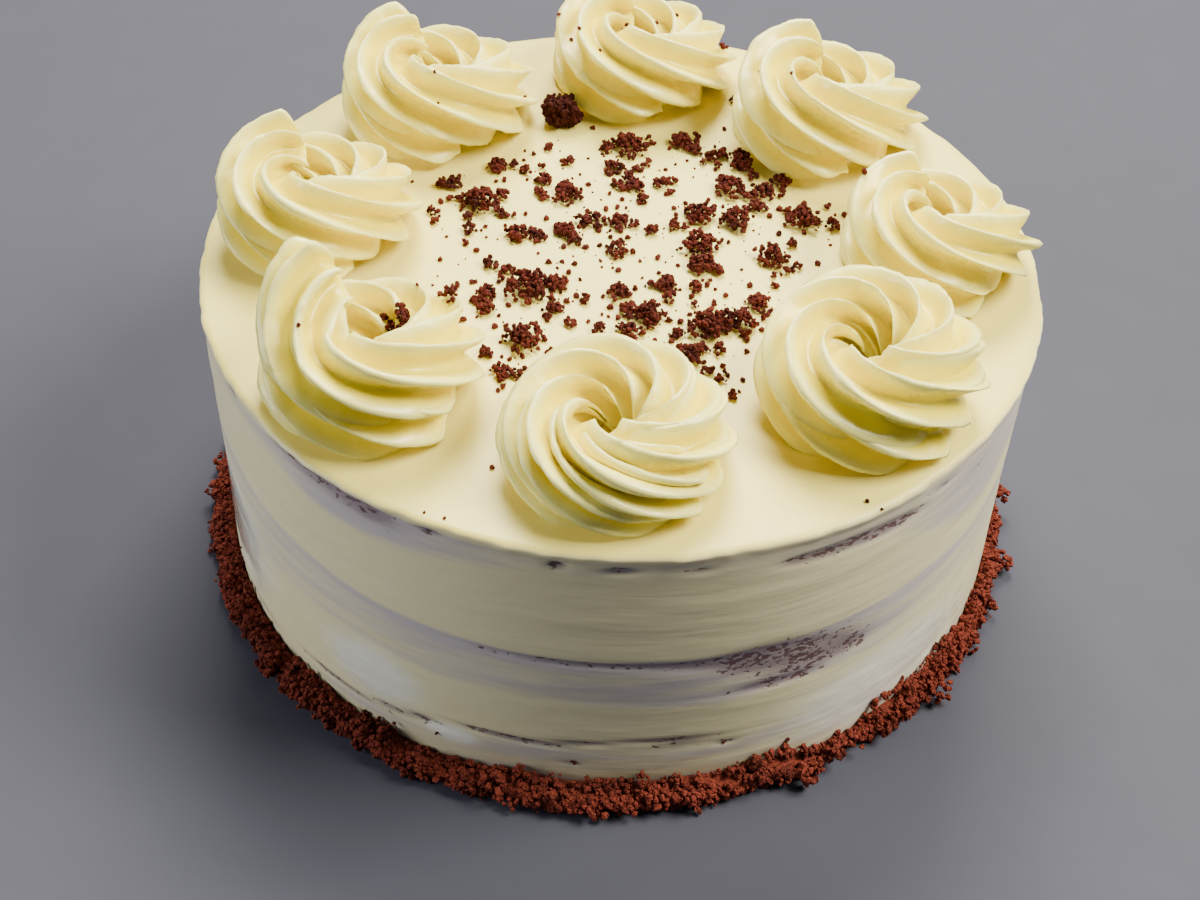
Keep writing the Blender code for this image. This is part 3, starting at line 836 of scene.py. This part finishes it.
# The stray crumbs. A few crumbs landed on the rosettes, near the front edge and on the side, where
# each one lies on the cream below it.
# On the top and the rosettes: x, y and width in mm
STRAYS = (
    (-47.0, -46.0, 6.4), (-50.2, -42.8, 2.2), (-44.6, -48.5, 2.6), (-65.0, -62.3, 1.2), (-51.7, -27.6, 0.9),
    (-44.1, -35.6, 1.1), (-36.4, -34.9, 5.1), (-39.5, -32.0, 1.8), (-46.0, -23.9, 0.9), (-44.4, -25.6, 0.7),
    (-42.9, -27.6, 0.9), (-39.0, -23.3, 4.1), (-47.6, 37.5, 1.0), (-26.1, 47.4, 1.0), (-25.6, 39.9, 1.0),
    (-46.3, 32.2, 0.8), (-19.5, 57.4, 1.1), (-13.4, 64.8, 1.3), (-7.8, 59.9, 1.0), (-2.3, 72.3, 1.1),
    (-1.2, 68.4, 1.1), (6.7, 84.1, 1.4), (11.8, 84.6, 1.4), (25.6, 94.1, 2.0), (-15.4, 68.4, 1.1),
    (-19.1, 74.7, 1.1), (8.7, 64.4, 1.1), (28.4, 67.2, 2.9), (29.1, 59.6, 1.9), (32.9, 53.0, 1.3),
    (31.2, 71.3, 1.4), (32.3, 66.8, 1.6), (33.7, 72.3, 1.1), (39.8, 43.2, 1.0), (25.2, 53.9, 1.3),
    (55.9, 7.9, 1.9), (53.0, -80.3, 1.2), (56.0, -81.8, 0.8), (-24.8, -75.4, 1.3), (25.6, -50.2, 2.4),
    (27.2, -48.1, 1.1), (23.8, -40.0, 1.6), (-37.4, -89.4, 0.8), (-33.2, -90.8, 0.8),
)
# On the side: azimuth in degrees, height and width in mm
SIDE_STRAYS = (
    (-43.8, 10.7, 1.7), (-40.5, 8.5, 1.5), (-49.8, 10.0, 1.2), (-93.3, 11.6, 1.6), (-73.1, 16.9, 1.4),
    (-158.3, 10.7, 1.0), (-112.0, 11.5, 1.2), (-64.0, 12.0, 1.3), (60.0, 12.5, 1.6), (133.0, 11.5, 1.4),
)
STRAY_DROP = 0.05            # height from which a crumb falls on the cream
SIDE_STRAY_GRAINS = 3


def stray_grains():
    """Every stray crumb as one grain or a few, each on the surface that it fell on."""
    graph = bpy.context.evaluated_depsgraph_get()
    fields = [BVHTree.FromObject(piece, graph) for piece in (coat, *rosettes)]

    def landing(x, y):
        start = Vector((x, y, CAKE_TOP + STRAY_DROP))
        hits = [field.ray_cast(start, Vector((0, 0, -1)))[0] for field in fields]
        return max(hit.z for hit in hits if hit)

    grains = []
    for x, y, width in STRAYS:
        x, y, width = x / 1000, y / 1000, width / 1000
        if width < GRAIN_WIDTH[1] * 1.3:
            grains.append(((x, y, landing(x, y) + width * 0.25), width))
            continue
        for (x, y, up), size in clump(x, y, 0.0, width, width * CLUMP_RISE):
            grains.append(((x, y, landing(x, y) + up), size))
    for azimuth, height, width in SIDE_STRAYS:
        way = outward(azimuth)
        hit = fields[0].ray_cast(way * 2 * CAKE_RADIUS + Vector((0, 0, height / 1000)), -way)[0]
        for number in range(SIDE_STRAY_GRAINS):
            shift = Vector([draw.uniform(-0.3, 0.3) * width / 1000 for axis in range(3)])
            grains.append((tuple(hit + shift), width * 0.7 / 1000))
    return grains


stray_crumbs = sprinkled("stray_crumbs", stray_grains(), 14, top_crumb)
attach(stray_crumbs, "root")
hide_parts("icing")

# The crumb border. The same crumbs, pressed by hand against the foot of the side in an uneven
# band: a packed core, with grains and small clumps of them all over it.
BAND_OUTER = 0.1030
BAND_HEIGHT = 0.0068
BAND_WAVE = 0.0014
BAND_SWELLS = 6.0            # how fast its slow and its quick unevenness run round the foot
BAND_NOTCHES = 17.0
BAND_INSET = 0.0006
BAND_LIFT = 0.0002
BAND_ROUGH = 0.0006
BAND_SPILL = 0.0022
SPILL_AZIMUTH = -128
SPILL_SPREAD = 55
BAND_COLUMNS = 360
BAND_GRAINS = 2300         # in each of its two faces
BAND_GRAIN_WIDTH = (0.0008, 0.0021)
BORDER_RED = (0.205, 0.037, 0.021)
BORDER_DARK = (0.048, 0.008, 0.005)
BAND_CLUMPS = 64
CLUMP_SEED = 11
CLUMP_WIDTH = (0.0045, 0.0085)
CLUMP_SINK = (0.0006, 0.0026)
CLUMP_INSET = 0.57
CLUMP_GRAIN_WIDTH = (0.0009, 0.0022)
# Upper edge of the crumbs on the coat where it was measured: azimuth in degrees and height in mm
BAND_EDGE = (
    (-170, 7.5), (-158, 6.0), (-145, 4.5), (-140, 4.0), (-133, 6.3), (-127, 4.6), (-118, 5.0), (-112, 4.8),
    (-106, 5.6), (-98, 7.6), (-95, 5.4), (-89, 7.2), (-84, 6.6), (-78, 7.6), (-71, 7.2), (-66, 10.5),
    (-62, 6.2), (-55, 4.6), (-52, 4.4), (-49, 12.0), (-46, 9.5), (-39, 9.6), (-35, 12.0), (-29, 6.5),
    (-15, 7.0),
)
UNDERCUT = (-80, 34, 0.0020)   # where the band's foot draws in: middle and half width in degrees, depth
PATCHES = 260               # small clumps pressed on from the coat down to the ground
PATCH_WIDTH = (0.0018, 0.0046)
PATCH_GRAIN_WIDTH = (0.0007, 0.0016)
PATCH_CLIMB = 0.0024         # how far the highest of them climb over the band


def spill(azimuth):
    """Extra reach of the band at an azimuth in degrees."""
    return BAND_SPILL * smooth(1.5 - abs(apart(azimuth, SPILL_AZIMUTH)) / SPILL_SPREAD)


def band_outline(azimuth):
    """Outer radius and height of the band's core at an azimuth in degrees."""
    way = outward(azimuth)
    swell = noise.noise(way * BAND_SWELLS + Vector((3, 1, 7)))
    fine = noise.noise(way * BAND_NOTCHES + Vector((0, 5, 2)))
    outer = BAND_OUTER + BAND_WAVE * (swell + 0.6 * fine) + spill(azimuth)
    return outer, BAND_HEIGHT + BAND_WAVE * 1.3 * (fine - 0.5 * swell)


def coat_edge(azimuth, height):
    """Height that the crumbs reach on the coat: as measured in front, and uneven behind."""
    azimuth = apart(azimuth, 0)
    if azimuth < BAND_EDGE[0][0] or azimuth > BAND_EDGE[-1][0]:
        return height
    return float(np.interp(azimuth, [turn for turn, up in BAND_EDGE], [up / 1000 for turn, up in BAND_EDGE]))


def undercut(azimuth, height):
    """How far the band's foot draws in under its crumbs, where it throws a dark line."""
    middle, reach, depth = UNDERCUT
    return depth * smooth(1.5 - abs(apart(azimuth, middle)) / reach) * smooth(1 - height / 0.0034)


def band_core():
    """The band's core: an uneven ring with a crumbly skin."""
    inner = CAKE_RADIUS - BAND_INSET
    rings = [[], [], [], [], [], []]
    for column in range(BAND_COLUMNS):
        azimuth = 360 * column / BAND_COLUMNS
        turn = math.radians(azimuth)
        outer, height = band_outline(azimuth)
        low = outer - 0.0012 - undercut(azimuth, 0)
        edge = min(coat_edge(azimuth, height), height * 1.1)
        outline = ((inner, BAND_LIFT), (low, BAND_LIFT), (outer - 0.0008, height * 0.45),
                   (outer - 0.0020, height * 0.72), (inner, edge * 0.86), (inner, BAND_LIFT))
        for ring, (radius, up) in zip(rings, outline):
            place = Vector((radius * math.cos(turn), radius * math.sin(turn), up))
            radius += BAND_ROUGH * noise.noise(place * 330) if radius > inner else 0
            ring.append((radius * math.cos(turn), radius * math.sin(turn), up))
    return turned_surface("crumb_band_core", rings)


def band_grains(upper):
    """Grains over the band's outer face, or over its top and a little way up the coat."""
    grains = []
    for number in range(BAND_GRAINS):
        azimuth = draw.uniform(0, 360)
        turn = math.radians(azimuth)
        outer, height = band_outline(azimuth)
        width = draw.uniform(*BAND_GRAIN_WIDTH)
        if upper:
            share = draw.random() ** 1.3
            radius = CAKE_RADIUS + width * 0.25 + (outer - CAKE_RADIUS - 0.0012) * share
            edge = coat_edge(azimuth, height)
            way = outward(azimuth)
            climb = max(0.0016 * noise.noise(way * 13) + 0.0022 * noise.noise(way * 31), -0.0012)
            rise = edge + draw.uniform(-0.8, 0.9) * abs(climb)
            up = rise + (height * 0.76 - rise) * smooth(share * 1.2)
        else:
            radius = outer - 0.0007 + draw.uniform(-0.0006, 0.0006)
            up = height * draw.uniform(0.0, 0.85)
            radius -= undercut(azimuth, up) + 0.0012 * smooth((up / height - 0.5) * 2)
        grains.append(((radius * math.cos(turn), radius * math.sin(turn), max(up, width * 0.4)), width))
    return grains


def band_clumps():
    """Round clumps of grains that stand out of the band's face, evenly spaced with some play."""
    grains = []
    place = random.Random(CLUMP_SEED)
    for number in range(BAND_CLUMPS):
        azimuth = 360 * (number + place.uniform(-0.35, 0.35)) / BAND_CLUMPS
        width = place.uniform(*CLUMP_WIDTH)
        height = max(place.uniform(0.15, 1.0) * BAND_HEIGHT, 0.42 * width)
        reach = BAND_OUTER + spill(azimuth) - place.uniform(*CLUMP_SINK)
        reach = max(reach, CAKE_RADIUS + FIT_GAP + CLUMP_INSET * width)
        turn = math.radians(azimuth)
        for grain in range(int(1.3 * (width / 0.0012) ** 1.75)):
            up = draw.uniform(-1, 1)
            spin = draw.uniform(0, 2 * math.pi)
            flat = math.sqrt(1 - up * up)
            out = draw.uniform(0.45, 1.0) * width * 0.44
            size = draw.uniform(*CLUMP_GRAIN_WIDTH)
            grains.append(((reach * math.cos(turn) + out * flat * math.cos(spin),
                            reach * math.sin(turn) + out * flat * math.sin(spin),
                            max(height + out * up * 0.8, size * 0.4)), size))
    return grains


def band_patches():
    """Small clumps over the whole face; those next to the coat make its upper edge uneven."""
    grains = []
    for number in range(PATCHES):
        azimuth = 360 * (number + draw.uniform(-0.8, 0.8)) / PATCHES
        way = outward(azimuth)
        outer, height = band_outline(azimuth)
        width = draw.uniform(*PATCH_WIDTH)
        down = draw.random() ** 1.25
        climb = PATCH_CLIMB * max(0.2 + 1.2 * noise.noise(way * 23), 0) * max(1 - 2.5 * down, 0)
        climb += (coat_edge(azimuth, height) - height) * max(1 - 1.6 * down, 0)
        radius = CAKE_RADIUS + 0.0004 + (outer - CAKE_RADIUS - 0.0008) * smooth(down * 1.7)
        up = height * (1 - 0.95 * down ** 1.6) + climb
        radius -= undercut(azimuth, up)
        middle = Vector((way.x * radius, way.y * radius, up))
        for grain in range(int(1.5 * (width / 0.0011) ** 1.9)):
            size = draw.uniform(*PATCH_GRAIN_WIDTH)
            spread = Vector([draw.gauss(0, 0.24) * width for axis in range(3)])
            place = middle + spread
            place.z = max(place.z, size * 0.4)
            flat = math.hypot(place.x, place.y)
            place.xy *= max(flat, CAKE_RADIUS + size * 0.15) / flat
            grains.append((tuple(place), size))
    return grains


border_crumb = crumb_finish("brick_red_crumb", BORDER_RED, BORDER_DARK)
core = band_core()
core.data.materials.append(border_crumb)
outer_face = sprinkled("crumb_border_outside", band_grains(False), 21, border_crumb)
upper_face = sprinkled("crumb_border_top", band_grains(True), 27, border_crumb)
clumps = sprinkled("crumb_border_clumps", band_clumps(), 33, border_crumb)
patches = sprinkled("crumb_border_patches", band_patches(), 35, border_crumb)
for piece in (core, outer_face, upper_face, clumps, patches):
    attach(piece, "root")
    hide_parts("crumb_border")
for thing in list(crumb_group.objects):
    bpy.data.objects.remove(thing, do_unlink=True)
bpy.data.collections.remove(crumb_group)

# The camera, the floor and the lights. The camera stands where the photograph was taken from.
PHOTO_WIDTH = 1200
FOCAL_PIXELS = 1809.9
CAMERA_PLACE = (0.0, -0.34436, 0.34499)
CAMERA_YAW = 0.519
CAMERA_PITCH = 43.716
CAMERA_ROLL = 2.308
FLOOR_GREY = (0.065, 0.066, 0.091)
FLOOR_REACH = 12.0
FLOOR_DROP = 0.0001
LAMP_TARGET = (0, 0, 0.05)
LAMP_WARM = (1.0, 0.95, 0.80)
LAMP_WHITE = (1, 1, 1)
# Lamps: name, place, width, power and tint
LAMPS = (
    ("back_lamp", (0.02, 0.66, 0.98), 0.55, 34, LAMP_WARM),
    ("right_lamp", (0.72, -0.02, 0.90), 0.50, 28, LAMP_WARM),
    ("left_fill", (-1.1, -0.2, 0.4), 0.5, 9, LAMP_WHITE),
)
ROOM_TINT = (0.68, 0.81, 1.0)
ROOM_STRENGTH = 0.1

lens = bpy.data.cameras.new("camera")
lens.sensor_width = 36
lens.lens = lens.sensor_width * FOCAL_PIXELS / PHOTO_WIDTH
camera = in_scene("camera", lens)
camera.matrix_world = (Matrix.Translation(CAMERA_PLACE) @ Matrix.Rotation(math.radians(CAMERA_YAW), 4, "Z")
                       @ Matrix.Rotation(math.radians(90 - CAMERA_PITCH), 4, "X")
                       @ Matrix.Rotation(math.radians(CAMERA_ROLL), 4, "Z"))
bpy.context.scene.camera = camera

floor_mesh = bpy.data.meshes.new("floor")
corners = [(x * FLOOR_REACH, y * FLOOR_REACH, -FLOOR_DROP) for x, y in ((-1, -1), (1, -1), (1, 1), (-1, 1))]
floor_mesh.from_pydata(corners, [], [(0, 1, 2, 3)])
floor = in_scene("floor", floor_mesh)
floor_look, floor_mix, floor_shader = finish("plain_floor", {"Roughness": 0.8, "Specular IOR Level": 0.2})
cloud = floor_mix.grain(60, 3.0)
floor_shade = floor_mix.mix(cloud, colour(FLOOR_GREY), colour([v * 1.1 for v in FLOOR_GREY]))
put(floor_shader.inputs["Base Color"], floor_shade)
floor_mesh.materials.append(floor_look)


def soft_light(name, place, width, power, tint):
    """A square lamp that looks at the middle of the cake."""
    lamp = bpy.data.lights.new(name, "AREA")
    lamp.size = width
    lamp.energy = power
    lamp.color = tint
    made = in_scene(name, lamp)
    made.location = place
    made.rotation_euler = (Vector(LAMP_TARGET) - Vector(place)).to_track_quat("-Z", "Y").to_euler()


for lamp in LAMPS:
    soft_light(*lamp)
world = bpy.data.worlds.new("room")
bpy.context.scene.world = world
world.use_nodes = True
room = world.node_tree.nodes["Background"].inputs
room["Color"].default_value = colour(ROOM_TINT)
room["Strength"].default_value = ROOM_STRENGTH
